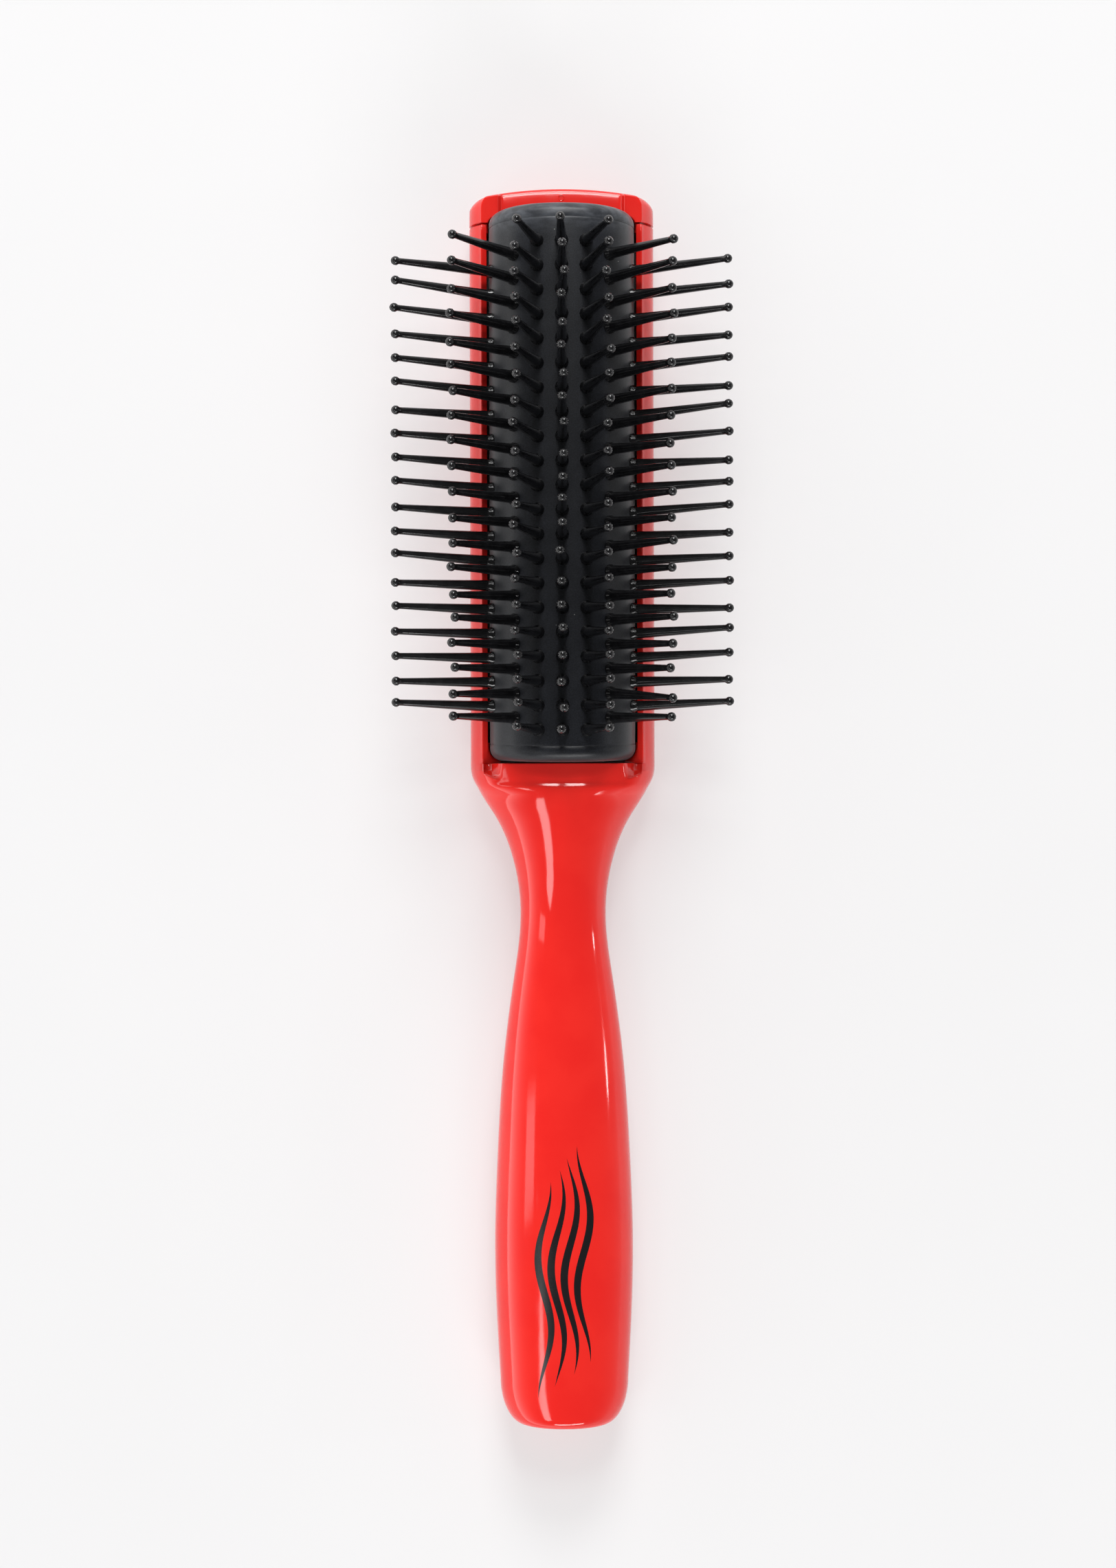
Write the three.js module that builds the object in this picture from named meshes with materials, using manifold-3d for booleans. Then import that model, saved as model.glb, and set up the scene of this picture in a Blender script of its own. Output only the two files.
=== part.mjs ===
// Half-round styling hairbrush with a removable rubber pad and rows of ball-tipped pins.
//
// Frame: millimetres, +Z up with the pins pointing up, +Y from the handle towards the tip, X across.
// The origin is under the middle of the brush, on the plane that its back rests on.

import * as THREE from "three";
import Module from "manifold-3d";
import { LoftGeometry } from "three/addons/geometries/LoftGeometry.js";
import { mergeVertices } from "three/addons/utils/BufferGeometryUtils.js";

const wasm = await Module();
wasm.setup();

// ---------------------------------------------------------------- driving dimensions

const LENGTH = 220; // whole brush
const GAP = 0.3; // clearance between neighbouring pieces

const HEAD_HALF_WIDTH = 16.4; // widest part of the half-round back
const HEAD_WIDEST_Z = 8.5; // height of that widest part
const RAIL_TOP_Z = 14; // top of the two rails beside the pad
const RAIL_LIP_HALF_WIDTH = 14.3; // outer edge of the rail's top
const REST_STRIP_HALF_WIDTH = 4.5; // flat strip under the back and under the handle

const CHANNEL_HALF_WIDTH = 13.2; // channel between the rails
const CHANNEL_FLOOR_Z = 5.5;
const GROOVE_HALF_WIDTH = 14.5; // undercut that holds the pad's flange
const GROOVE_TOP_Z = 7.8;
const CHANNEL_START_Y = 8.1; // handle end of the channel

const CLIP_LENGTH = 6.3; // end clip, measured along the brush
const CLIP_CORNER_RADIUS = 2.8;
const CLIP_BROW_HALF_WIDTH = 10.7; // low middle of the clip, between its two corner posts
const CLIP_BROW_Z = 12;
const CLIP_UNDERSIDE_RISE = 0.5; // share of the corner's inset by which the underside rises
const CLIP_TONGUE_LENGTH = 10;
const CLIP_TONGUE_HALF_WIDTH = 8;
const CLIP_TONGUE_TOP_Z = 8;
const CLIP_FRONT_WALL = 1.5; // left in front of the tongue's root

const PAD_START_Y = 8.4;
const PAD_END_Y = 105.7;
const PAD_CROWN_RADIUS = 23; // flatter middle of the arched pad
const PAD_CROWN_DEG = 10; // half angle of that middle
const PAD_HAUNCH_RADIUS = 10.7; // tighter sides of the arch
const PAD_HAUNCH_ANGLES = [90, 76, 62, 48, 34, 22]; // degrees from upright, on each side
const PAD_SPRING_Z = 12.75; // height where the arch turns into an upright wall
const PAD_THICKNESS = 2.4;
const PAD_END_ROUNDING = 1.6; // soft edge at both ends of the pad
const PAD_FLANGE_HALF_WIDTH = GROOVE_HALF_WIDTH - GAP;
const PAD_BOTTOM_Z = CHANNEL_FLOOR_Z + GAP;

const PIN_PITCH = 4.245; // along a row
const FIRST_PIN_Y = 98.9; // tip end of the longest rows
const PIN_LENGTH = 18.5; // above the pad
const PIN_ROOT_RADIUS = 1.0;
const PIN_NECK_RADIUS = 0.55;
const PIN_BALL_RADIUS = 0.78;
const PIN_SIDES = 6;
const PIN_HOLE_RADIUS = 1.26;
const STRIP_HALF_WIDTH = 1.1; // base strip that joins the pins of a row under the pad
const STRIP_THICKNESS = 1.2;
const STRIP_GAP = 0.38; // between the strip and the inside of the pad
const STRIP_OVERHANG = 2; // strip beyond its first and last pin

// Rows from the left (-X) to the right (+X): tilt from upright, and pins left off at each end.
// Half a pin left off staggers a row by half a pitch.
const LONGEST_ROW = 21;
const ROWS = [
  { tiltDeg: -71, trim: 1 },
  { tiltDeg: -35.5, trim: 0.5 },
  { tiltDeg: -11.5, trim: 0 },
  { tiltDeg: 0, trim: 0 },
  { tiltDeg: 11.5, trim: 0 },
  { tiltDeg: 35.5, trim: 0.5 },
  { tiltDeg: 71, trim: 1 },
];

// Handle stations from its end to the shoulder: place, half width, underside and top.
const HANDLE_END_RADIUS = 7.5; // rounding of the handle's end in plan
const HANDLE_END_POWER = 2.6; // over 2, the end is squarer than a circle
const HANDLE_END_FACE = 0.9; // 1 would close the end to a point; less leaves a small end face
const HANDLE_STATIONS = [
  { y: -102.5, halfWidth: 11.3, bottom: 0.7, top: 16.0 },
  { y: -90, halfWidth: 12.0, bottom: 0, top: 17.2 },
  { y: -76, halfWidth: 12.3, bottom: 0, top: 17.8 },
  { y: -62, halfWidth: 11.9, bottom: 0, top: 17.6 },
  { y: -46, halfWidth: 10.9, bottom: 0.8, top: 16.8 },
  { y: -30, halfWidth: 8.9, bottom: 2.2, top: 15.9 },
  { y: -18.5, halfWidth: 7.6, bottom: 2.8, top: 15.8 },
  { y: -8, halfWidth: 9.1, bottom: 2.0, top: 16.9 },
  { y: -1, halfWidth: 11.9, bottom: 0.7, top: 18.1 },
  { y: 3.6, halfWidth: 14.9, bottom: 0.1, top: 18.6 },
];
const SHOULDER_Y = 3.6; // crest of the shoulder
const SHOULDER_BACK_Y = 6.4; // foot of the cove between the crest and the pad
const HEAD_FULL_Y = 8;
const OVAL_Y = -14; // the head's half-round section has become the handle's oval here
const OVAL_POWER = 2.2; // squareness of the handle's upper half; 2 is an ellipse
const SHOULDER_POWER = 4.2; // squareness of the shoulder's upper half
const OVAL_STRIP_SHARE = 0.35; // flat strip under the handle, as a share of its half width
const COVE_RINGS = [ // between the crest of the shoulder and the head: place, share of the way there
  { y: (SHOULDER_Y + SHOULDER_BACK_Y) / 2, blend: 0.35 },
  { y: SHOULDER_BACK_Y, blend: 0.85 },
];

const QUARTER = 8; // points in a quarter of a body section
const HANDLE_RINGS = 22;
const END_RINGS = 4;
const CLIP_CORNER_SHARES = [0, 0.5, 0.8, 0.95, 0.995]; // rings round the clip's corners

const BODY_END_Y = -LENGTH / 2;
const TIP_Y = LENGTH / 2;
const CLIP_START_Y = TIP_Y - CLIP_LENGTH;
const RAIL_END_Y = CLIP_START_Y - GAP;
const STEP_PAST = 2; // how far a cutting tool runs past the face that it cuts
const MERGE_DISTANCE = 1e-4; // vertices closer than this are one

// ---------------------------------------------------------------- materials

const redPlastic = new THREE.MeshStandardMaterial({ color: 0xd81218, roughness: 0.18, metalness: 0 });
const greyRubber = new THREE.MeshStandardMaterial({ color: 0x3b3d40, roughness: 0.6, metalness: 0 });
const blackPlastic = new THREE.MeshStandardMaterial({ color: 0x0c0c0d, roughness: 0.25, metalness: 0 });

// ---------------------------------------------------------------- helpers

const radians = THREE.MathUtils.degToRad;
const lerp = THREE.MathUtils.lerp;

/** Closed geometry to a solid that can be joined and cut. */
function toSolid(geometry) {
  const bare = new THREE.BufferGeometry();
  bare.setAttribute("position", geometry.getAttribute("position"));
  bare.setIndex(geometry.getIndex());
  const merged = mergeVertices(bare, MERGE_DISTANCE);
  return new wasm.Manifold(new wasm.Mesh({
    numProp: 3,
    vertProperties: new Float32Array(merged.attributes.position.array),
    triVerts: new Uint32Array(merged.index.array),
  }));
}

/** Solid back to a geometry with flat faces. */
function toGeometry(solid) {
  const mesh = solid.getMesh();
  const geometry = new THREE.BufferGeometry();
  geometry.setAttribute("position", new THREE.BufferAttribute(mesh.vertProperties, 3));
  geometry.setIndex(new THREE.BufferAttribute(mesh.triVerts, 1));
  const flat = geometry.toNonIndexed();
  flat.computeVertexNormals();
  return flat;
}

/** Box solid from its low and high corners. */
function boxBetween(low, high) {
  const size = high.map((value, axis) => value - low[axis]);
  const middle = high.map((value, axis) => (value + low[axis]) / 2);
  return toSolid(new THREE.BoxGeometry(...size).translate(...middle));
}

/** Upright box that is symmetric about the middle plane of the brush. */
function middleBox(halfWidth, startY, endY, bottomZ, topZ) {
  return boxBetween([-halfWidth, startY, bottomZ], [halfWidth, endY, topZ]);
}

/** Smooth step from 0 at `from` to 1 at `to`. */
function ease(value, from, to) {
  const t = THREE.MathUtils.clamp((value - from) / (to - from), 0, 1);
  return t * t * (3 - 2 * t);
}

/** Solid lofted through rings of [x, z] points that stand at the given places along Y. */
function loft(rings) {
  const sections = rings.map(({ y, points }) => points.map(([x, z]) => new THREE.Vector3(x, y, z)));
  return toSolid(new LoftGeometry(sections, { capStart: true, capEnd: true }));
}

/** Whole section, turning from -X over the top to +X, from its upper and lower right quarters. */
function ringFromQuarters(upper, lower) {
  const left = upper.map(([x, z]) => [-x, z]);
  const right = upper.slice(0, QUARTER).reverse();
  const underRight = lower.slice(1);
  const underLeft = lower.slice(1, QUARTER).reverse().map(([x, z]) => [-x, z]);
  return [...left, ...right, ...underRight, ...underLeft];
}

// ---------------------------------------------------------------- body sections

/** Lower quarter: an arc from the widest point to the edge of the flat strip, then the strip. */
function lowerQuarter(halfWidth, widestZ, bottom, strip) {
  const arcSteps = QUARTER - 1;
  const points = [];
  for (let i = 0; i <= arcSteps; i++) {
    const angle = (i / arcSteps) * Math.PI / 2;
    const x = strip + (halfWidth - strip) * Math.cos(angle);
    points.push([x, widestZ - (widestZ - bottom) * Math.sin(angle)]);
  }
  points.push([0, bottom]);
  return points;
}

/** Upper quarter of the head: a sloping flank up to the rail's lip, then level to the middle. */
function headUpperQuarter(scale) {
  const flankSteps = 2;
  const points = [];
  for (let i = 0; i <= QUARTER; i++) {
    const onFlank = i <= flankSteps;
    const along = onFlank ? i / flankSteps : (i - flankSteps) / (QUARTER - flankSteps);
    const x = onFlank
      ? lerp(HEAD_HALF_WIDTH, RAIL_LIP_HALF_WIDTH, along * along)
      : lerp(RAIL_LIP_HALF_WIDTH, 0, along);
    const z = onFlank ? lerp(HEAD_WIDEST_Z, RAIL_TOP_Z, along) : RAIL_TOP_Z;
    points.push([x * scale, z]);
  }
  return points;
}

/** Upper quarter of an oval; a power over 2 squares its shoulders. */
function ovalUpperQuarter(halfWidth, widestZ, top, power) {
  const points = [];
  for (let i = 0; i <= QUARTER; i++) {
    const angle = (i / QUARTER) * Math.PI / 2;
    const x = halfWidth * Math.cos(angle) ** (2 / power);
    points.push([x, widestZ + (top - widestZ) * Math.sin(angle) ** (2 / power)]);
  }
  return points;
}

/** Values of the handle's stations at any place, on a smooth curve through them. */
function handleAt(y) {
  const curveOf = (key) => new THREE.SplineCurve(
    HANDLE_STATIONS.map((station) => new THREE.Vector2(station.y, station[key])));
  const valueOf = (key) => {
    const last = HANDLE_STATIONS.length - 1;
    const next = HANDLE_STATIONS.findIndex((station) => station.y >= y - 1e-6);
    const index = THREE.MathUtils.clamp(next, 1, last);
    const from = HANDLE_STATIONS[index - 1].y;
    const to = HANDLE_STATIONS[index].y;
    return curveOf(key).getPoint((index - 1 + (y - from) / (to - from)) / last).y;
  };
  return {
    halfWidth: valueOf("halfWidth"),
    bottom: Math.max(0, valueOf("bottom")), // the curve never dips below the resting plane
    top: valueOf("top"),
  };
}

/** Section of the handle at y, shrunk to `shrink` of its size where the end is rounded. */
function handleRing(y, shrink) {
  const { halfWidth, bottom, top } = handleAt(Math.max(y, HANDLE_STATIONS[0].y));
  const toHead = ease(y, OVAL_Y, HEAD_FULL_Y);
  const widest = lerp(lerp(bottom, top, 0.5), HEAD_WIDEST_Z, toHead);
  const power = lerp(OVAL_POWER, SHOULDER_POWER, toHead);
  const strip = lerp(OVAL_STRIP_SHARE * halfWidth, REST_STRIP_HALF_WIDTH, toHead);
  const scaled = (value) => widest + (value - widest) * shrink;
  const upper = ovalUpperQuarter(halfWidth * shrink, widest, scaled(top), power);
  const lower = lowerQuarter(halfWidth * shrink, widest, scaled(bottom), strip * shrink);
  return { y, points: ringFromQuarters(upper, lower) };
}

/** Full section of the head at y. */
function headRing(y) {
  const lower = lowerQuarter(HEAD_HALF_WIDTH, HEAD_WIDEST_Z, 0, REST_STRIP_HALF_WIDTH);
  return { y, points: ringFromQuarters(headUpperQuarter(1), lower) };
}

/** Section between the crest of the shoulder and the head, `blend` of the way to the head. */
function coveRing(y, blend) {
  const crest = handleRing(SHOULDER_Y, 1).points;
  const head = headRing(y).points;
  const points = crest.map(([x, z], i) => [lerp(x, head[i][0], blend), lerp(z, head[i][1], blend)]);
  return { y, points };
}

// ---------------------------------------------------------------- handle body

/** Solid outside of the handle and head, before the channel is cut. */
function bodyBlank() {
  const rings = [];
  for (let i = 0; i < END_RINGS; i++) {
    const along = Math.sqrt(1 - i / END_RINGS);
    const shrink = Math.sqrt(1 - HANDLE_END_FACE * along ** HANDLE_END_POWER);
    rings.push(handleRing(BODY_END_Y + HANDLE_END_RADIUS * (1 - along), shrink));
  }
  const firstY = HANDLE_STATIONS[0].y;
  for (let i = 0; i <= HANDLE_RINGS; i++) {
    rings.push(handleRing(lerp(firstY, SHOULDER_Y, i / HANDLE_RINGS), 1));
  }
  COVE_RINGS.forEach(({ y, blend }) => rings.push(coveRing(y, blend)));
  rings.push(headRing(HEAD_FULL_Y), headRing(RAIL_END_Y));
  return loft(rings);
}

/** Handle and channel-shaped head, moulded in one piece. */
function handleBody() {
  const past = RAIL_END_Y + STEP_PAST;
  const channel = middleBox(CHANNEL_HALF_WIDTH, CHANNEL_START_Y, past,
    CHANNEL_FLOOR_Z, RAIL_TOP_Z + STEP_PAST);
  const groove = middleBox(GROOVE_HALF_WIDTH, CHANNEL_START_Y, past, CHANNEL_FLOOR_Z, GROOVE_TOP_Z);
  return bodyBlank().subtract(channel).subtract(groove);
}

// ---------------------------------------------------------------- end clip

/** Section of the head, drawn in for the rounded corners of the clip. */
function clipRing(y) {
  const intoCorner = Math.max(0, y - (TIP_Y - CLIP_CORNER_RADIUS));
  const inset = CLIP_CORNER_RADIUS - Math.sqrt(Math.max(0, CLIP_CORNER_RADIUS ** 2 - intoCorner ** 2));
  const scale = (HEAD_HALF_WIDTH - inset) / HEAD_HALF_WIDTH;
  const halfWidth = HEAD_HALF_WIDTH * scale;
  const underside = inset * CLIP_UNDERSIDE_RISE;
  const lower = lowerQuarter(halfWidth, HEAD_WIDEST_Z, underside, REST_STRIP_HALF_WIDTH * scale);
  return { y, points: ringFromQuarters(headUpperQuarter(scale), lower) };
}

/** Cap that closes the tip of the head, with a tongue that snaps under the pad. */
function endClip() {
  const corner = CLIP_CORNER_SHARES.map((share) => clipRing(TIP_Y - CLIP_CORNER_RADIUS * (1 - share)));
  const block = loft([clipRing(CLIP_START_Y), ...corner]);
  const browCut = middleBox(CLIP_BROW_HALF_WIDTH, CLIP_START_Y - STEP_PAST, TIP_Y + STEP_PAST,
    CLIP_BROW_Z, RAIL_TOP_Z + STEP_PAST);
  const wallY = PAD_END_Y + GAP;
  const pocket = middleBox(CHANNEL_HALF_WIDTH, CLIP_START_Y - STEP_PAST, wallY,
    CHANNEL_FLOOR_Z, RAIL_TOP_Z + STEP_PAST);
  const flangePocket = middleBox(GROOVE_HALF_WIDTH, CLIP_START_Y - STEP_PAST, wallY,
    CHANNEL_FLOOR_Z, GROOVE_TOP_Z);
  const tongue = middleBox(CLIP_TONGUE_HALF_WIDTH, CLIP_START_Y - CLIP_TONGUE_LENGTH,
    TIP_Y - CLIP_FRONT_WALL, CHANNEL_FLOOR_Z + GAP, CLIP_TONGUE_TOP_Z);
  return block.subtract(browCut).subtract(pocket).subtract(flangePocket).add(tongue);
}

// ---------------------------------------------------------------- rubber pad

/** Point on the pad's arch at an angle from upright, `depth` below its outer surface. */
function archPoint(angleDeg, depth) {
  const side = Math.sign(angleDeg);
  const angle = radians(Math.abs(angleDeg));
  const crown = radians(PAD_CROWN_DEG);
  const shift = PAD_CROWN_RADIUS - PAD_HAUNCH_RADIUS;
  const onCrown = angle <= crown;
  const radius = (onCrown ? PAD_CROWN_RADIUS : PAD_HAUNCH_RADIUS) - depth;
  const centreX = onCrown ? 0 : shift * Math.sin(crown);
  const centreZ = PAD_SPRING_Z - (onCrown ? shift * Math.cos(crown) : 0);
  return [side * (centreX + radius * Math.sin(angle)), centreZ + radius * Math.cos(angle)];
}

/** Arch from the left springing over the crown to the right one. */
function archOutline(depth) {
  const angles = [...PAD_HAUNCH_ANGLES, PAD_CROWN_DEG, PAD_CROWN_DEG / 2];
  const left = angles.map((angle) => archPoint(-angle, depth));
  const right = [...angles].reverse().map((angle) => archPoint(angle, depth));
  return [...left, archPoint(0, depth), ...right];
}

/** Outer solid of the pad, its edges softened at both ends. */
function padBlank() {
  const ringAt = (y, inset) => {
    const arch = archOutline(inset);
    const [wallX] = arch[arch.length - 1];
    return { y, points: [...arch, [wallX, PAD_BOTTOM_Z], [-wallX, PAD_BOTTOM_Z]] };
  };
  const small = PAD_END_ROUNDING;
  const lesser = PAD_END_ROUNDING * (1 - Math.SQRT1_2);
  return loft([
    ringAt(PAD_START_Y, small),
    ringAt(PAD_START_Y + lesser, lesser),
    ringAt(PAD_START_Y + small, 0),
    ringAt(PAD_END_Y - small, 0),
    ringAt(PAD_END_Y - lesser, lesser),
    ringAt(PAD_END_Y, small),
  ]);
}

/** Hollow under the pad, open downwards, where the pin strips lie. */
function padHollow() {
  const arch = archOutline(PAD_THICKNESS);
  const [wallX] = arch[arch.length - 1];
  const underZ = PAD_BOTTOM_Z - STEP_PAST;
  const points = [...arch, [wallX, underZ], [-wallX, underZ]];
  return loft([
    { y: PAD_START_Y + PAD_THICKNESS, points },
    { y: PAD_END_Y - PAD_THICKNESS, points },
  ]);
}

/** Hexagonal hole for every pin of a row. */
function holesOfRow(row) {
  const reach = PAD_THICKNESS + 2 * STEP_PAST;
  const solids = pinPlaces(row).map((y) => {
    const tool = new THREE.CylinderGeometry(PIN_HOLE_RADIUS, PIN_HOLE_RADIUS, reach, PIN_SIDES);
    return toSolid(placeOnPad(tool.translate(0, -PAD_THICKNESS / 2, 0), row, y));
  });
  return wasm.Manifold.union(solids);
}

/** Arched rubber pad with a flange along both sides. */
function rubberPad() {
  let pad = padBlank().subtract(padHollow());
  for (const side of [-1, 1]) {
    const inner = archPoint(90, PAD_THICKNESS)[0];
    const low = [Math.min(side * inner, side * PAD_FLANGE_HALF_WIDTH), PAD_START_Y, PAD_BOTTOM_Z];
    const high = [Math.max(side * inner, side * PAD_FLANGE_HALF_WIDTH), PAD_END_Y, GROOVE_TOP_Z - GAP];
    pad = pad.add(boxBetween(low, high));
  }
  const tongueSlot = middleBox(CLIP_TONGUE_HALF_WIDTH + GAP, PAD_END_Y - PAD_THICKNESS - STEP_PAST,
    PAD_END_Y + STEP_PAST, PAD_BOTTOM_Z - STEP_PAST, CLIP_TONGUE_TOP_Z + GAP);
  pad = pad.subtract(tongueSlot);
  for (const row of ROWS) {
    pad = pad.subtract(holesOfRow(row));
  }
  return pad;
}

// ---------------------------------------------------------------- pin rows

/** Places of a row's pins along Y. */
function pinPlaces(row) {
  const count = LONGEST_ROW - 2 * row.trim;
  return Array.from({ length: count }, (_, i) => FIRST_PIN_Y - (row.trim + i) * PIN_PITCH);
}

/** Moves a shape built along +Y, with its base at the origin, onto the pad's surface at y. */
function placeOnPad(geometry, row, y) {
  const [x, z] = archPoint(row.tiltDeg, 0);
  return geometry
    .rotateY(Math.PI / PIN_SIDES)
    .rotateX(Math.PI / 2)
    .rotateY(radians(row.tiltDeg))
    .translate(x, y, z);
}

/** One tapered pin with a ball tip, from inside its strip to its end. */
function pinGeometry() {
  const root = PAD_THICKNESS + STRIP_GAP + STRIP_THICKNESS / 2;
  const ballZ = PIN_LENGTH - PIN_BALL_RADIUS;
  const profile = [
    new THREE.Vector2(0, -root),
    new THREE.Vector2(PIN_ROOT_RADIUS, -root),
    new THREE.Vector2(PIN_NECK_RADIUS, ballZ - PIN_BALL_RADIUS),
    new THREE.Vector2(PIN_BALL_RADIUS, ballZ),
    new THREE.Vector2(0, PIN_LENGTH),
  ];
  return new THREE.LatheGeometry(profile, PIN_SIDES);
}

/** Row of pins on its base strip, moulded in one piece. */
function pinRow(row) {
  const places = pinPlaces(row);
  const startY = places[places.length - 1] - STRIP_OVERHANG;
  const endY = places[0] + STRIP_OVERHANG;
  const depth = PAD_THICKNESS + STRIP_GAP;
  const [x, z] = archPoint(row.tiltDeg, 0);
  const strip = new THREE.BoxGeometry(2 * STRIP_HALF_WIDTH, endY - startY, STRIP_THICKNESS)
    .translate(0, 0, -depth - STRIP_THICKNESS / 2)
    .rotateY(radians(row.tiltDeg))
    .translate(x, (startY + endY) / 2, z);
  const pins = places.map((y) => toSolid(placeOnPad(pinGeometry(), row, y)));
  return wasm.Manifold.union([toSolid(strip), ...pins]);
}

// ---------------------------------------------------------------- assembly

const brush = new THREE.Group();

function addPart(name, solid, material) {
  const mesh = new THREE.Mesh(toGeometry(solid), material.clone());
  mesh.name = name;
  brush.add(mesh);
}

addPart("handle_body", handleBody(), redPlastic);
addPart("end_clip", endClip(), redPlastic);
addPart("rubber_pad", rubberPad(), greyRubber);
ROWS.forEach((row, i) => addPart(`pin_row_${i + 1}`, pinRow(row), blackPlastic));

export default brush;
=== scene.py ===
"""Half-round styling hairbrush: its finished pieces, materials, light and camera.

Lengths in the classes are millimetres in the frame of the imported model: +Z up with the pins up,
+Y from the handle to the tip, X across. They are scaled to metres where a mesh gets its vertices.
"""

import logging
import random
from dataclasses import dataclass, field
from enum import Enum
from math import acos, cos, erf, pi, radians, sin, sqrt
from typing import Callable, Sequence, Union

import bpy
import numpy as np
from mathutils import Matrix, Vector


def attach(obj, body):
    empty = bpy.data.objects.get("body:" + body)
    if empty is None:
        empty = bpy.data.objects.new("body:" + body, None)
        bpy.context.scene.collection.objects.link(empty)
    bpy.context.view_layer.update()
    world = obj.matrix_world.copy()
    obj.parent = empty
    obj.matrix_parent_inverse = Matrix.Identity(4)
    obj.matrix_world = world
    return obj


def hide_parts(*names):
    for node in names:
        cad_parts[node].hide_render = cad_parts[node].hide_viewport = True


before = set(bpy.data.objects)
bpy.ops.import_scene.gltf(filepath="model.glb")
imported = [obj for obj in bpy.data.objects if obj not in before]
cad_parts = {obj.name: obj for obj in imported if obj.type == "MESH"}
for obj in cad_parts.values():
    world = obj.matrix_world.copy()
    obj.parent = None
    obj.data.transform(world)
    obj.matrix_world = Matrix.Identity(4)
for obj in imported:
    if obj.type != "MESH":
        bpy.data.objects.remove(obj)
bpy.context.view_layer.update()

MM = 0.001
LOG = logging.getLogger("hairbrush")

Piece = bpy.types.Object
Material = bpy.types.Material
Point = tuple[float, float]
Triple = tuple[float, float, float]


# ---- small geometry helpers


def lerp(low: float, high: float, share: float) -> float:
    """Value at a share of the way from low to high."""
    return low + (high - low) * share


def ease(value: float, start: float, end: float) -> float:
    """Smooth step from 0 at start to 1 at end."""
    share = min(1.0, max(0.0, (value - start) / (end - start)))
    return share * share * (3.0 - 2.0 * share)


def line(start: Point, end: Point, steps: int) -> list[Point]:
    """Points after start up to end, evenly spaced."""
    shares = [i / steps for i in range(1, steps + 1)]
    return [(lerp(start[0], end[0], s), lerp(start[1], end[1], s)) for s in shares]


def arc(centre: Point, radii: Point, start: float, end: float, steps: int) -> list[Point]:
    """Points after the start of an elliptic arc up to its end.

    Args:
        centre: Middle of the ellipse.
        radii: Its half axes.
        start: Angle of the start, in degrees.
        end: Angle of the end, in degrees.
        steps: Number of points.

    Returns:
        The points, without the first one.
    """
    points = []
    for i in range(1, steps + 1):
        angle = radians(lerp(start, end, i / steps))
        x = centre[0] + radii[0] * cos(angle)
        points.append((x, centre[1] + radii[1] * sin(angle)))
    return points


def mirrored(half: Sequence[Point]) -> list[Point]:
    """Closed outline from its right half, whose first and last points lie on the middle line."""
    return list(half) + [(-x, z) for x, z in reversed(half[1:-1])]


class Spline:
    """Natural cubic curve through a few stations, smooth enough to carry a gloss."""

    def __init__(self, places: Sequence[float], values: Sequence[float]) -> None:
        """Solves the curve's second derivatives at its stations.

        Args:
            places: Rising places of the stations.
            values: Value at each place.
        """
        self.x = np.array(places, dtype=float)
        self.y = np.array(values, dtype=float)
        count = len(self.x)
        step = np.diff(self.x)
        slope = np.diff(self.y) / step
        matrix = np.eye(count)
        right = np.zeros(count)
        for i in range(1, count - 1):
            matrix[i, i - 1 : i + 2] = step[i - 1], 2 * (step[i - 1] + step[i]), step[i]
            right[i] = 6 * (slope[i] - slope[i - 1])
        self.bend = np.linalg.solve(matrix, right)

    def __call__(self, place: float) -> float:
        """Value of the curve at a place."""
        i = int(np.clip(np.searchsorted(self.x, place) - 1, 0, len(self.x) - 2))
        step = self.x[i + 1] - self.x[i]
        a = (self.x[i + 1] - place) / step
        b = 1.0 - a
        curve = (a**3 - a) * self.bend[i] + (b**3 - b) * self.bend[i + 1]
        return float(a * self.y[i] + b * self.y[i + 1] + curve * step * step / 6.0)


# ---- modelling bench


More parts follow.
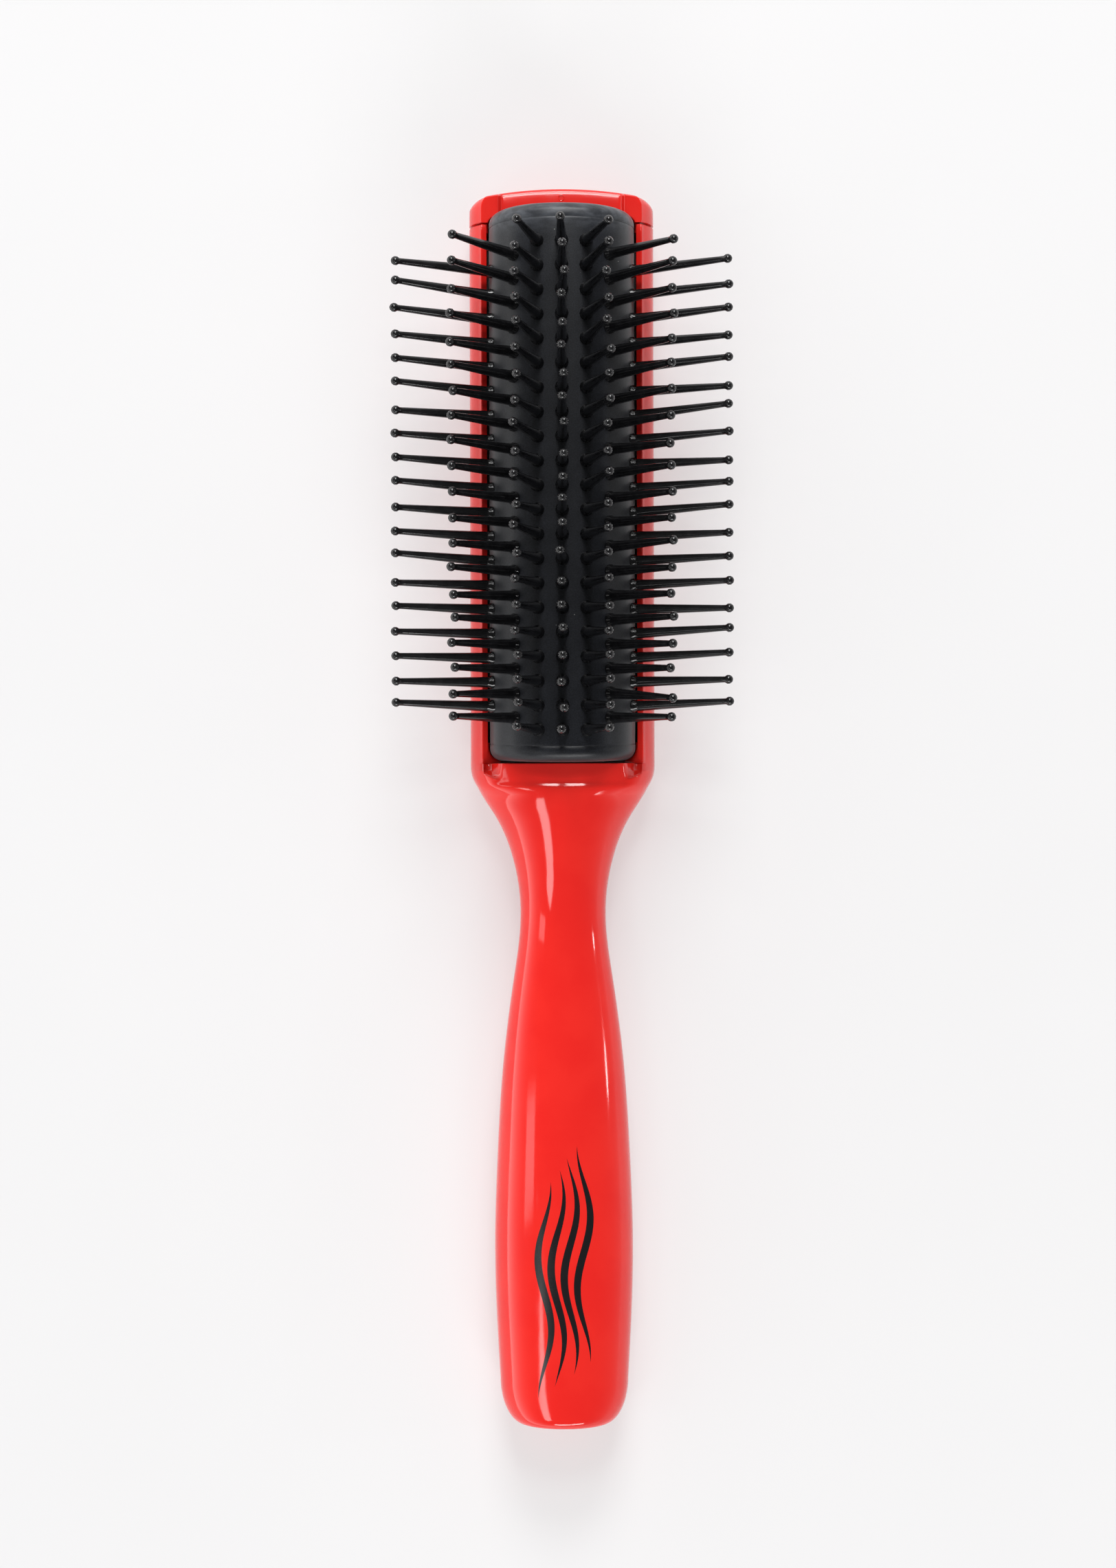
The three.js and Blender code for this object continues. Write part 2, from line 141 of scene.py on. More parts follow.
class Bench:
    """Blender's modelling operators, used as by hand on one piece at a time."""

    @staticmethod
    def clear() -> None:
        """Deselects everything."""
        bpy.ops.object.select_all(action="DESELECT")

    @staticmethod
    def hold(piece: Piece) -> None:
        """Makes a piece the only selected one and the active one."""
        Bench.clear()
        piece.select_set(True)
        bpy.context.view_layer.objects.active = piece

    @staticmethod
    def modifier(piece: Piece, kind: str, **settings: object) -> None:
        """Adds a modifier to a piece and applies it.

        Args:
            piece: The piece to change.
            kind: Blender's name for the modifier's type.
            **settings: Its properties.
        """
        Bench.hold(piece)
        added = piece.modifiers.new(kind.lower(), kind)
        for name, value in settings.items():
            setattr(added, name, value)
        bpy.ops.object.modifier_apply(modifier=added.name)

    @staticmethod
    def combine(piece: Piece, operation: str, tools: Sequence[Piece]) -> None:
        """Cuts tools out of a piece or adds them to it, one by one, and removes them.

        Args:
            piece: The piece to change.
            operation: DIFFERENCE or UNION.
            tools: The other pieces.
        """
        for tool in tools:
            Bench.modifier(piece, "BOOLEAN", operation=operation, solver="EXACT", object=tool)
            bpy.data.objects.remove(tool)

    @staticmethod
    def outward(piece: Piece) -> None:
        """Merges doubled vertices and turns every face outwards."""
        Bench.hold(piece)
        bpy.ops.object.mode_set(mode="EDIT")
        bpy.ops.mesh.select_all(action="SELECT")
        bpy.ops.mesh.remove_doubles(threshold=1e-7)
        bpy.ops.mesh.normals_make_consistent(inside=False)
        bpy.ops.object.mode_set(mode="OBJECT")

    @staticmethod
    def settle(piece: Piece, name: str, sharp_deg: float, finish: Material) -> Piece:
        """Names and dresses a piece, puts its place into its mesh and shades it smooth.

        Args:
            piece: The piece.
            name: Its name.
            sharp_deg: Edges sharper than this stay sharp.
            finish: Its material.

        Returns:
            The same piece.
        """
        Bench.hold(piece)
        bpy.ops.object.transform_apply(location=True, rotation=True, scale=True)
        bpy.ops.object.shade_smooth_by_angle(angle=radians(sharp_deg))
        piece.name = name
        piece.data.name = name
        piece.data.materials.append(finish)
        return piece

    @staticmethod
    def join(pieces: Sequence[Piece]) -> Piece:
        """Joins pieces into the first one."""
        Bench.clear()
        for piece in pieces:
            piece.select_set(True)
        bpy.context.view_layer.objects.active = pieces[0]
        bpy.ops.object.join()
        return pieces[0]

    @staticmethod
    def box(low: Sequence[float], high: Sequence[float], rounding: float = 0.0) -> Piece:
        """Box between two corners, its edges rounded.

        Args:
            low: Lowest corner.
            high: Highest corner.
            rounding: Width of the edge rounding, or 0 for none.

        Returns:
            The new piece.
        """
        middle = [(a + b) / 2 * MM for a, b in zip(low, high)]
        size = [(b - a) * MM for a, b in zip(low, high)]
        Bench.clear()
        bpy.ops.mesh.primitive_cube_add(size=1.0, location=middle)
        piece = bpy.context.active_object
        bpy.ops.object.mode_set(mode="EDIT")
        bpy.ops.transform.resize(value=size, center_override=middle)
        if rounding:
            bpy.ops.mesh.bevel(offset=rounding * MM, segments=2, affect="EDGES")
        bpy.ops.object.mode_set(mode="OBJECT")
        bpy.ops.object.transform_apply(location=True, rotation=True, scale=True)
        return piece


@dataclass
class Loft:
    """Closed skin over rings that stand one behind another.

    A disc is extruded once for every ring, and each ring is then drawn to its outline.
    """

    # one array of points for each ring, all with the same count and turning the same way
    rings: list[np.ndarray]

    def build(self) -> Piece:
        """Makes the piece, with flat caps on its first and last ring."""
        count = len(self.rings[0])
        Bench.clear()
        bpy.ops.mesh.primitive_circle_add(
            vertices=count, radius=1.0, fill_type="NGON", rotation=(pi / 2, 0, 0)
        )
        piece = bpy.context.active_object
        bpy.ops.object.transform_apply(location=True, rotation=True, scale=True)
        bpy.ops.object.mode_set(mode="EDIT")
        for _ in self.rings[1:]:
            bpy.ops.mesh.extrude_region_move(TRANSFORM_OT_translate={"value": (0.0, 1.0, 0.0)})
        bpy.ops.mesh.select_all(action="DESELECT")
        bpy.ops.mesh.select_mode(type="EDGE")
        bpy.ops.mesh.select_non_manifold(extend=False)
        bpy.ops.mesh.edge_face_add()
        bpy.ops.object.mode_set(mode="OBJECT")
        self._draw(piece.data, count)
        Bench.outward(piece)
        return piece

    def _draw(self, mesh: bpy.types.Mesh, count: int) -> None:
        """Moves every vertex of the extruded disc to its place on its ring.

        Args:
            mesh: The extruded disc.
            count: Vertices in a ring.
        """
        place = np.empty(len(mesh.vertices) * 3, dtype=np.float32)
        mesh.vertices.foreach_get("co", place)
        place = place.reshape(-1, 3)
        ring = np.rint(place[:, 1]).astype(int)
        turn = np.arctan2(place[:, 2], place[:, 0]) / (2 * pi) * count
        first = turn[ring == 0][0]
        spot = np.rint(turn - first).astype(int) % count
        drawn = np.array(self.rings)[ring, spot] * MM
        mesh.vertices.foreach_set("co", drawn.astype(np.float32).ravel())
        mesh.update()


def ring_at(y: float, half: Sequence[Point]) -> np.ndarray:
    """Upright closed ring at a place along the brush, from the right half of its outline."""
    return np.array([(x, y, z) for x, z in mirrored(half)])


# ---- shader kit


def _operator(operation: str, reflected: bool = False) -> Callable[..., "Wire"]:
    """Wire method that adds a Math node on the wire and another signal.

    Args:
        operation: What the node does.
        reflected: True where the other signal comes first.

    Returns:
        The method.
    """

    def method(self: "Wire", other: "Signal" = 0.0) -> "Wire":
        """Math node on the two."""
        first, second = (other, self) if reflected else (self, other)
        return self.nodes.math(operation, first, second)

    return method


class Wire:
    """A node's output that can be used in a Python expression."""

    def __init__(self, nodes: "Nodes", socket: bpy.types.NodeSocket) -> None:
        """Wraps an output socket of one node tree."""
        self.nodes = nodes
        self.socket = socket

    __add__ = __radd__ = _operator("ADD")
    __sub__ = _operator("SUBTRACT")
    __rsub__ = _operator("SUBTRACT", reflected=True)
    __mul__ = __rmul__ = _operator("MULTIPLY")
    __truediv__ = _operator("DIVIDE")
    __abs__ = _operator("ABSOLUTE")
    __lt__ = _operator("LESS_THAN")
    __gt__ = _operator("GREATER_THAN")
    sine = _operator("SINE")
    largest = _operator("MAXIMUM")


Signal = Union[Wire, float]


class Nodes:
    """Nodes of one material, or of the world."""

    def __init__(self, tree: bpy.types.NodeTree) -> None:
        """Takes the tree that the nodes go into."""
        self.tree = tree

    def node(
        self, kind: str, settings: dict | None = None, sockets: dict | None = None
    ) -> bpy.types.Node:
        """Adds any node.

        Args:
            kind: Blender's name for the node's type.
            settings: Properties set before the sockets.
            sockets: Value or Wire for each input, by its name or number.

        Returns:
            The new node.
        """
        made = self.tree.nodes.new(kind)
        for name, value in (settings or {}).items():
            setattr(made, name, value)
        for name, value in (sockets or {}).items():
            if isinstance(value, Wire):
                self.tree.links.new(value.socket, made.inputs[name])
            else:
                made.inputs[name].default_value = value
        return made

    def wire(self, made: bpy.types.Node, output: Union[str, int] = 0) -> Wire:
        """Output of a node, ready for an expression."""
        return Wire(self, made.outputs[output])

    def math(self, operation: str, first: Signal, second: Signal = 0.0) -> Wire:
        """Math node on two signals."""
        made = self.node("ShaderNodeMath", {"operation": operation}, {0: first, 1: second})
        return self.wire(made)


class Shader(Nodes):
    """One procedural material and its nodes."""

    def __init__(self, name: str) -> None:
        """Starts a material with nothing but its output."""
        self.material = bpy.data.materials.new(name)
        self.material.use_nodes = True
        super().__init__(self.material.node_tree)
        self.tree.nodes.clear()
        self.output = self.node("ShaderNodeOutputMaterial")
        self.coordinates = self.node("ShaderNodeTexCoord")

    def place(self) -> tuple[Wire, Wire, Wire]:
        """X, Y and Z on the piece, in metres."""
        split = self.node("ShaderNodeSeparateXYZ", None, {0: self.wire(self.coordinates, "Object")})
        return self.wire(split, "X"), self.wire(split, "Y"), self.wire(split, "Z")

    def stretched(self, scale: Sequence[float]) -> Wire:
        """Object coordinates scaled along each axis."""
        sockets = {0: self.wire(self.coordinates, "Object"), "Scale": scale}
        return self.wire(self.node("ShaderNodeMapping", None, sockets))

    def noise(
        self, size_mm: float, detail: float = 2.0, scale: Sequence[float] = (1, 1, 1)
    ) -> Wire:
        """Noise from 0 to 1 whose blobs are about the given size.

        Args:
            size_mm: Size of the blobs.
            detail: Octaves of finer noise.
            scale: Extra squeeze along X, Y and Z.

        Returns:
            The noise.
        """
        spread = {"Vector": self.stretched(scale), "Scale": 1.0 / (size_mm * MM), "Detail": detail}
        return self.wire(self.node("ShaderNodeTexNoise", None, spread), "Fac")

    def cells(self, size_mm: float) -> Wire:
        """Distance to the nearest of scattered points, in cells."""
        spread = {"Vector": self.stretched((1, 1, 1)), "Scale": 1.0 / (size_mm * MM)}
        return self.wire(self.node("ShaderNodeTexVoronoi", None, spread), "Distance")

    def ramp(self, signal: Signal, low: float, high: float) -> Wire:
        """Signal spread smoothly from 0 at low to 1 at high, and held beyond them."""
        limits = {"Value": signal, "From Min": low, "From Max": high}
        made = self.node("ShaderNodeMapRange", {"interpolation_type": "SMOOTHSTEP"}, limits)
        return self.wire(made)

    def mix(self, share: Signal, first: object, second: object) -> Wire:
        """Mixes two colours.

        Args:
            share: How much of the second one.
            first: Colour, or wire that carries one.
            second: Colour, or wire that carries one.

        Returns:
            The mixed colour.
        """
        made = self.node("ShaderNodeMix", {"data_type": "RGBA"})
        pairs = ((made.inputs[0], share), (made.inputs[6], first), (made.inputs[7], second))
        for socket, value in pairs:
            if isinstance(value, Wire):
                self.tree.links.new(value.socket, socket)
            elif isinstance(value, tuple):
                socket.default_value = (*value, 1.0)
            else:
                socket.default_value = value
        return Wire(self, made.outputs[2])

    def bump(self, height: Signal, distance_mm: float, strength: float) -> Wire:
        """Normal bent by a height from 0 to 1."""
        sockets = {"Height": height, "Distance": distance_mm * MM, "Strength": strength}
        return self.wire(self.node("ShaderNodeBump", None, sockets), "Normal")

    def surface(self, **sockets: object) -> Material:
        """Ends the material in a Principled surface.

        Args:
            **sockets: Its inputs, with _ for a space in their names.

        Returns:
            The finished material.
        """
        named = {name.replace("_", " "): value for name, value in sockets.items()}
        made = self.node("ShaderNodeBsdfPrincipled", None, named)
        self.tree.links.new(made.outputs[0], self.output.inputs[0])
        return self.material


# ---- finishes


@dataclass(frozen=True)
class StrandMotif:
    """Plain ink ornament on the handle: a few flowing strands, side by side."""

    centre_y: float = -81.0  # middle of the ornament along the handle
    length: float = 38.0  # from end to end
    spacing: float = 2.3  # between neighbouring strands
    sway: float = 1.15  # how far a strand swings to each side
    wave: float = 25.0  # length of one swing
    width: float = 1.35  # widest part of a strand
    strands: int = 4  # how many there are

    def mask(self, shader: Shader) -> Wire:
        """1 where the ink lies on the top of the handle."""
        x, y, z = shader.place()
        along = (y - self.centre_y * MM) / (self.length / 2 * MM)
        total = None
        for i in range(self.strands):
            offset = (i - (self.strands - 1) / 2) * self.spacing * MM
            shift = (i - (self.strands - 1) / 2) * 0.22
            swing = (y * (2 * pi / (self.wave * MM)) + shift * 2).sine() * (self.sway * MM)
            own = along - shift * 0.5
            taper = 1.0 - own * own
            half = taper.largest(0.0) * (self.width / 2 * MM)
            strand = (abs(x - swing - offset) < half)
            total = strand if total is None else total.largest(strand)
        return total * (z > 0.012)


@dataclass(frozen=True)
class GlossRed:
    """Bright red moulded plastic with a deep gloss."""

    color: Triple = (0.765, 0.020, 0.014)  # red of the plastic
    # slightly darker red that drifts through it
    deep: Triple = (0.74, 0.016, 0.012)
    motif: StrandMotif | None = None  # ink ornament, or None

    def build(self, name: str) -> Material:
        """Makes the material."""
        shader = Shader(name)
        drift = shader.ramp(shader.noise(9.0, 3.0), 0.35, 0.65)
        color = shader.mix(drift, self.color, self.deep)
        scratches = shader.ramp(shader.noise(0.9, 4.0, (1.0, 0.06, 1.0)), 0.66, 0.74)
        smudges = shader.ramp(shader.noise(6.0, 4.0), 0.45, 0.75)
        roughness = 0.085 + scratches * 0.10 + smudges * 0.045
        height = shader.noise(2.6, 1.0) * 0.85 + shader.noise(0.35, 2.0) * 0.15
        if self.motif:
            ink = self.motif.mask(shader)
            color = shader.mix(ink, color, (0.006, 0.005, 0.006))
            roughness = roughness + ink * 0.16
        return shader.surface(
            Base_Color=color,
            Roughness=roughness,
            Normal=shader.bump(height, 0.02, 0.35),
            IOR=1.5,
            Specular_IOR_Level=0.5,
        )


@dataclass(frozen=True)
class SatinRubber:
    """Dark grey moulded rubber with a fine grain, a little dust and a lighter tip end: partly
    scuffs, partly a painted reflection.
    """

    color: Triple = (0.004, 0.0047, 0.0068)  # grey of the rubber
    light: Triple = (0.011, 0.0126, 0.0170)  # lighter grey of its grain
    scuffed_and_lit: Triple = (0.085, 0.092, 0.105)  # lighter grey of the tip end: partly scuffs, partly a painted reflection of the light from the tip side

    def build(self, name: str) -> Material:
        """Makes the material."""
        shader = Shader(name)
        grain = shader.noise(0.22, 2.0)
        cloud = shader.noise(5.0, 3.0)
        share = shader.ramp(grain * 0.75 + cloud * 0.25, 0.35, 0.68)
        color = shader.mix(share, self.color, self.light)
        specks = shader.ramp(shader.cells(2.4), 0.035, 0.02)
        dust = specks * shader.ramp(shader.noise(7.0, 1.0), 0.5, 0.6)
        _, along, _ = shader.place()
        rubbed = shader.ramp(shader.noise(1.1, 4.0, (0.35, 1.0, 1.0)), 0.3, 0.75)
        # the tip end is painted lighter: its blotches stand for scuffs, its even part is a painted
        # reflection of the light from the tip side
        scuffs_and_reflection = shader.ramp(along, 0.0995, 0.1050) * (0.25 + rubbed * 0.75)
        color = shader.mix(scuffs_and_reflection, color, self.scuffed_and_lit)
        color = shader.mix(dust, color, (0.30, 0.30, 0.30))
        height = grain * 0.7 + shader.noise(0.09, 1.0) * 0.3
        return shader.surface(
            Base_Color=color,
            Roughness=0.32 + cloud * 0.12,
            Normal=shader.bump(height, 0.03, 0.5),
            IOR=1.5,
            Specular_IOR_Level=0.30,
            Sheen_Weight=0.20,
            Sheen_Roughness=0.4,
        )


@dataclass(frozen=True)
class BlackNylon:
    """Glossy black nylon of the pins."""

    color: Triple = (0.0045, 0.0045, 0.005)  # near-black of the nylon

    def build(self, name: str) -> Material:
        """Makes the material."""
        shader = Shader(name)
        cloud = shader.noise(1.6, 2.0)
        color = shader.mix(shader.ramp(cloud, 0.4, 0.7), self.color, (0.008, 0.008, 0.009))
        return shader.surface(
            Base_Color=color,
            Roughness=0.08 + cloud * 0.08,
            Normal=shader.bump(shader.noise(0.4, 2.0), 0.01, 0.4),
            IOR=1.5,
            Specular_IOR_Level=0.5,
        )


@dataclass(frozen=True)
class PalePaper:
    """Matt off-white of the surface that the brush lies on, lit softly from below as well."""

    color: Triple = (0.42, 0.418, 0.42)  # its colour
    glow: float = 0.43  # light that comes through it

    def build(self, name: str) -> Material:
        """Makes the material."""
        shader = Shader(name)
        drift = shader.noise(60.0, 2.0)
        color = shader.mix(drift, self.color, (0.40, 0.398, 0.40))
        return shader.surface(
            Base_Color=color,
            Roughness=0.9,
            Specular_IOR_Level=0.1,
            Emission_Color=(1.0, 0.995, 1.0, 1.0),
            Emission_Strength=self.glow,
        )


class Finish(Enum):
    """The object's finishes, each with the material slot of the record that it belongs to."""

    RED = "red_plastic"
    RUBBER = "grey_rubber"
    BLACK = "black_plastic"


# ---- sub-assemblies


@dataclass
class HeadSection:
    """Section of the half-round head, shared by the handle body and the end clip."""

    half_width: float = 16.4  # at the widest part of the back
    widest_z: float = 8.5  # height of that part
    strip: float = 4.5  # half width of the flat strip underneath
    rail_top: float = 14.0  # height of the rails
    lip: float = 14.3  # half width of the head at the top of the rails
    lip_round: float = 0.22  # rounding of the rails' thin top edge
    inner_wall: float = 13.24  # half width of the channel
    narrowest: float = 10.9  # half width of the channel between the ledges round the pad's corners
    chamfer: float = 0.4  # height of the slope from the rails' top edge down to the channel
    ledge_drop: float = 0.7  # height from the foot of that slope down to the inner edge of a ledge
    groove: float = 14.5  # half width of the undercut for the pad's flange
    groove_top: float = 7.8  # height of that undercut
    floor: float = 5.5  # height of the channel's floor
    least_drop: float = 0.05  # that drop where there is no ledge
    ledge_onset: float = 0.12  # share of a full ledge past which it drops by its whole height
    lip_turn: float = 130  # how far the top edge turns over, in degrees
    strip_steps: int = 3
    back_steps: int = 14
    flank_steps: int = 8
    lip_steps: int = 4
    floor_steps: int = 36

    def back(self, inset: float = 0.0, lift: float = 0.0) -> list[Point]:
        """Right half of the back, from the middle of its underside to its widest point."""
        half = self.half_width - inset
        strip = self.strip * half / self.half_width
        points = [(0.0, lift)] + line((0.0, lift), (strip, lift), self.strip_steps)
        radii = (half - strip, self.widest_z - lift)
        return points + arc((strip, self.widest_z), radii, -90, 0, self.back_steps)

    def flank(
        self, inset: float = 0.0, top: float | None = None, lip: float | None = None
    ) -> list[Point]:
        """Sloping side of a rail, from the widest point up to the start of its lip.

        Args:
            inset: How far the widest point is drawn in.
            top: Height of the lip, or None for that of the rails.
            lip: Half width at the lip, or None for that of the rails.

        Returns:
            Points after the widest one.
        """
        top = (self.rail_top if top is None else top) - self.lip_round
        lip = self.lip - inset if lip is None else lip
        points = []
        for i in range(1, self.flank_steps + 1):
            share = i / self.flank_steps
            x = lerp(self.half_width - inset, lip, share * share)
            points.append((x, lerp(self.widest_z, top, share)))
        return points

    def channel_half(self, top: float, wall_x: float) -> list[Point]:
        """Right half of the head, with the channel between its rails.

        Args:
            top: Height of the rails here.
            wall_x: Half width of the channel here, less where a ledge closes it up to the pad.

        Returns:
            Points from the middle of the underside to the middle of the channel's floor.
        """
        lip_centre = (self.lip - self.lip_round, top - self.lip_round)
        rim = arc(lip_centre, (self.lip_round, self.lip_round), 0, self.lip_turn, self.lip_steps)
        foot_z = self.rail_top - self.chamfer
        ledge = (self.inner_wall - wall_x) / (self.inner_wall - self.narrowest)
        wall = line(rim[-1], (self.inner_wall, foot_z), 2)
        drop = self.least_drop + self.ledge_drop * ease(ledge, 0.0, self.ledge_onset)
        wall += [(wall_x, foot_z - drop)]
        wall += [(wall_x, self.groove_top), (self.groove, self.groove_top)]
        wall += [(self.groove, self.floor)]
        floor = line((self.groove, self.floor), (0.0, self.floor), self.floor_steps)
        return self.back() + self.flank(0.0, top) + rim + wall + floor

    @property
    def top_steps(self) -> int:
        """Points between the flank and the middle of the top."""
        wall_points = 6
        return self.lip_steps + wall_points + self.floor_steps


@dataclass
class HandleBody:
    """Handle, neck, shoulder and channel head, moulded in one piece."""

    section: HeadSection
    pad: "RubberPad"  # the rubber pad that lies in the channel
    pad_gap: float = 0.13  # between the pad and the ledges at its ends
    tip_end: float = 103.4  # where the rails end
    channel_start: float = 8.25  # where the channel begins, at the shoulder
    slit_start: float = 12.0  # where the slits between the rails and the pad begin
    slit_end: float = 101.9  # where they end
    end_y: float = -108.8  # end of the handle
    end_length: float = 8.0  # length over which the end narrows
    end_round: float = 1.6  # rounding of the end's upper and lower edge
    end_crowding: float = 1.1  # over 1, rings crowd towards the end
    # width of the flat face at the end, against the width where the narrowing starts
    end_face: float = 0.65
    crest_y: float = 3.6  # where the shoulder starts to fall towards the pad
    # place, length and steepness of the step down behind the crest
    ridge: Triple = (4.45, 0.58, 0.365)
    crest_rise: float = 0.05  # slope of the crest's middle towards the pad
    # places across where the middle's height gives way to the rails'
    side_fall: Point = (10.6, 12.6)
    # half width, length and depth of the scoop behind the pad
    scoop: Triple = (10.3, 2.9, 0.12)
    # inner and outer side of the slot at each end of the scoop, and run of its walls
    side_slot: Triple = (12.0, 14.1, 0.8)
    slot_ramp: Point = (6.0, 7.2)  # places along where those slots deepen
    slot_depth: float = 0.55  # their depth
    # places along where the handle's section turns into the head's
    head_blend: Point = (-16.0, 7.0)
    # power of the section's curve on the handle and at the neck, and what the shoulder adds
    squareness: Triple = (2.12, 2.0, 0.75)
    neck_run: Point = (-20.0, 0.0)  # places along where the neck's power takes over
    shoulder_run: Point = (1.6, 4.6)  # places along where the shoulder's is added
    # start, run, rise and power of the rails' ramp up to the shoulder
    lip_ramp: tuple[float, ...] = (10.2, 5.6, 4.0, 2.2)
    lip_limit: float = 17.9  # height that this ramp stops at
    flat_share: float = 0.30  # of the handle's half width that is flat underneath
    # places along where the points of the section spread as on the head
    head_facets: Point = (-14.0, 2.0)
    lip_edge: float = 0.15  # rounding of the edge of the channel at the shoulder
    # places along the handle
    stations: tuple[float, ...] = (-102.5, -90, -76, -62, -46, -30, -18.5, -8, -1, 3.6, 8.1)
    # half width at each station
    widths: tuple[float, ...] = (11.3, 12.0, 12.3, 11.85, 10.85, 8.85, 7.6, 9.1, 12.1, 14.95, 16.4)
    # height of the underside at each station
    undersides: tuple[float, ...] = (0.7, 0.05, 0.0, 0.1, 0.8, 2.2, 2.8, 2.0, 0.8, 0.25, 0.0)
    # height of the top at each station
    tops: tuple[float, ...] = (17.6, 17.65, 17.7, 17.5, 16.6, 15.2, 14.95, 16.7, 18.0, 18.65, 18.6)
    ring_pitch: float = 1.1  # spacing of the rings along the plain handle
    end_rings: int = 16  # rings round the end
    shoulder_rings: int = 48  # rings over the shoulder

    def __post_init__(self) -> None:
        """Prepares the curves through the stations and the spread of points over the top."""
        self.width_at = Spline(self.stations, self.widths)
        self.underside_at = Spline(self.stations, self.undersides)
        self.top_at = Spline(self.stations, self.tops)
        across = line((self.section.lip, 0.0), (0.0, 0.0), self.section.top_steps)
        self.spread = [x for x, _ in self.section.flank()] + [x for x, _ in across]

    def lip_height(self, y: float) -> float:
        """Height of the rails, which ramp up to the shoulder."""
        start, run, rise, power = self.lip_ramp
        ramp = max(0.0, (start - y) / run)
        return min(self.section.rail_top + rise * ramp**power, self.lip_limit)

    def power_at(self, y: float) -> float:
        """Squareness of the section's upper half: 2 is an ellipse."""
        handle, neck, shoulder = self.squareness
        power = lerp(handle, neck, ease(y, *self.neck_run))
        return power + shoulder * ease(y, *self.shoulder_run)

    def widest_at(self, y: float) -> float:
        """Height of the section's widest point."""
        middle = (self.underside_at(y) + self.top_at(y)) / 2
        return lerp(middle, self.section.widest_z, ease(y, *self.head_blend))

    def oval_half(self, y: float, narrow: float = 1.0, flat: float = 1.0) -> list[Point]:
        """Right half of the handle's section.

        Args:
            y: Place along the brush.
            narrow: Width against the full section, for the rounded end.
            flat: Height against the full section.

        Returns:
            Points from the middle of the underside to the middle of the top.
        """
        section = self.section
        half = self.width_at(y)
        widest = self.widest_at(y)
        top = self.top_at(y)
        bottom = max(0.0, self.underside_at(y))
        power = self.power_at(y)
        strip = lerp(self.flat_share * half, section.strip, ease(y, *self.head_blend))
        points = [(0.0, bottom)] + line((0.0, bottom), (strip, bottom), section.strip_steps)
        points += arc((strip, widest), (half - strip, widest - bottom), -90, 0, section.back_steps)
        like_head = ease(y, *self.head_facets)
        count = len(self.spread)
        for i, spread in enumerate(self.spread, start=1):
            even = pi / 2 * i / count
            share = min(1.0, spread / section.half_width)
            headed = acos(share ** (power / 2))
            angle = lerp(even, headed, like_head)
            x = half * max(0.0, cos(angle)) ** (2 / power)
            points.append((x, widest + (top - widest) * sin(angle) ** (2 / power)))
        return [(x * narrow, widest + (z - widest) * flat) for x, z in points]

    def shoulder_top(self, x: float, y: float, crown: float) -> float:
        """Height of the shoulder between its crest and the channel.

        Args:
            x: Place across.
            y: Place along.
            crown: Height that the plain oval would have here.

        Returns:
            The height, with the scoop behind the pad and the ends of the two side slots.
        """
        place, run, steep = self.ridge
        step = steep * run * sqrt(pi) / 2 * (1.0 + erf((y - place) / run))
        middle = crown + self.crest_rise * max(0.0, y - self.crest_y) - step
        side = min(crown, self.lip_height(y))
        top = lerp(middle, side, ease(abs(x), *self.side_fall))
        half_width, length, depth = self.scoop
        rim = (x / half_width) ** 2 + ((self.channel_start + 0.3 - y) / length) ** 2
        dish = depth * max(0.0, 1.0 - rim)
        inner, outer, wall = self.side_slot
        across = ease(abs(x), inner, inner + wall) * (1.0 - ease(abs(x), outer - wall, outer))
        slot = self.slot_depth * ease(y, *self.slot_ramp) * across
        turn = max(0.0, 1.0 - (self.channel_start - y) / self.lip_edge)
        return top - dish - slot - self.lip_edge * (1.0 - sqrt(1.0 - min(1.0, turn) ** 2))

    def shoulder_half(self, y: float) -> list[Point]:
        """Right half of the section between the crest and the channel.

        Args:
            y: Place along the brush.

        Returns:
            Points from the middle of the underside to the middle of the top.
        """
        oval = self.oval_half(y)
        share = ease(y, self.crest_y, self.channel_start)
        back = self.section.back()
        split = len(back)
        points = [
            (lerp(a[0], b[0], share), lerp(a[1], b[1], share)) for a, b in zip(oval[:split], back)
        ]
        widest = points[-1]
        flank = self.section.flank_steps
        oval_lip_x, oval_lip_z = oval[split + flank - 1]
        lip_x = lerp(oval_lip_x, self.section.lip, share)
        top_xs = [lip_x * x / self.section.lip for x in self.spread[flank:]]
        tops = []
        for (_, oval_z), x in zip(oval[split + flank :], top_xs):
            tops.append((x, self.shoulder_top(x, y, oval_z)))
        lip_z = min(oval_lip_z, self.lip_height(y))
        plain = self.section.flank(0.0, lip_z)
        for i in range(flank):
            oval_x, oval_z = oval[split + i]
            raised = (oval_z - widest[1]) * (lip_z - widest[1]) / (oval_lip_z - widest[1])
            z = lerp(widest[1] + raised, plain[i][1], share)
            points.append((lerp(oval_x, plain[i][0], share), z))
        return points + tops

